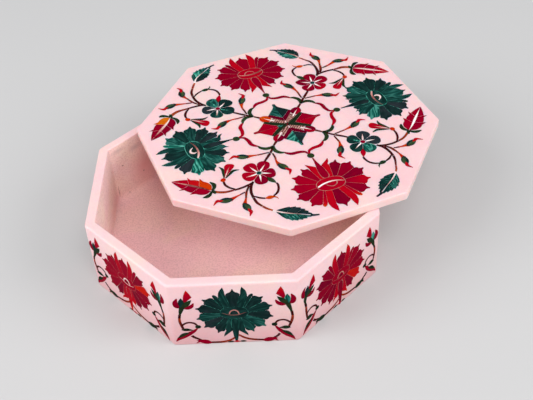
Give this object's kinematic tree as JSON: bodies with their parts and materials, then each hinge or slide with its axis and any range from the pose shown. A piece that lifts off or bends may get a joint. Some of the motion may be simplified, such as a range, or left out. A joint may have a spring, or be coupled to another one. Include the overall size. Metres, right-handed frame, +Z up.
{
  "type": "stone inlay jewelry box",
  "caption": "Octagonal hollow white marble jewelry box with inlaid red and green stone flowers, its loose lid lying askew on the rim.",
  "frame": {"origin": "centre of the box's underside, on the surface it stands on", "axes": "+Z up through the open top; -Y out of a flat side, so that the eight flat sides face +-X, +-Y and the diagonals; the lid lies pushed towards +X and +Y and turned 21.3 degrees anticlockwise"},
  "size_m": [0.1908, 0.1988, 0.0492],
  "materials": {
    "marble_box": "polished outside, fine matt inside",
    "marble_lid": "polished",
    "red_stone": "polished carnelian and jasper",
    "green_stone": "polished banded malachite"
  },
  "bodies": {
    "root": {"box": "marble_box", "lid": "marble_lid", "lid_bead_back": "green_stone", "lid_bead_front": "green_stone", "lid_bead_left": "green_stone", "lid_bead_right": "green_stone", "lid_bud_back_left": "red_stone", "lid_bud_back_right": "red_stone", "lid_bud_front_left": "red_stone", "lid_bud_front_right": "red_stone", "lid_flower_back": "red_stone", "lid_flower_front": "red_stone", "lid_flower_left": "green_stone", "lid_flower_right": "green_stone", "lid_garland": "red_stone", "lid_leaf_back_left": "green_stone", "lid_leaf_back_right": "green_stone", "lid_leaf_front_left": "green_stone", "lid_leaf_front_right": "green_stone", "lid_rosette": "red_stone", "lid_small_flower_back_left": "green_stone", "lid_small_flower_back_right": "red_stone", "lid_small_flower_front_left": "red_stone", "lid_small_flower_front_right": "green_stone", "lid_tulip_back_left": "red_stone", "lid_tulip_back_right": "red_stone", "lid_tulip_front_left": "red_stone", "lid_tulip_front_right": "red_stone", "side_flower_back": "green_stone", "side_flower_back_left": "red_stone", "side_flower_back_right": "red_stone", "side_flower_front": "green_stone", "side_flower_front_left": "red_stone", "side_flower_front_right": "red_stone", "side_flower_left": "green_stone", "side_flower_right": "green_stone", "side_left_tulip_back": "red_stone", "side_left_tulip_back_left": "red_stone", "side_left_tulip_back_right": "red_stone", "side_left_tulip_front": "red_stone", "side_left_tulip_front_left": "red_stone", "side_left_tulip_front_right": "red_stone", "side_left_tulip_left": "red_stone", "side_left_tulip_right": "red_stone", "side_right_tulip_back": "red_stone", "side_right_tulip_back_left": "red_stone", "side_right_tulip_back_right": "red_stone", "side_right_tulip_front": "red_stone", "side_right_tulip_front_left": "red_stone", "side_right_tulip_front_right": "red_stone", "side_right_tulip_left": "red_stone", "side_right_tulip_right": "red_stone"}
  },
  "joints": []
}
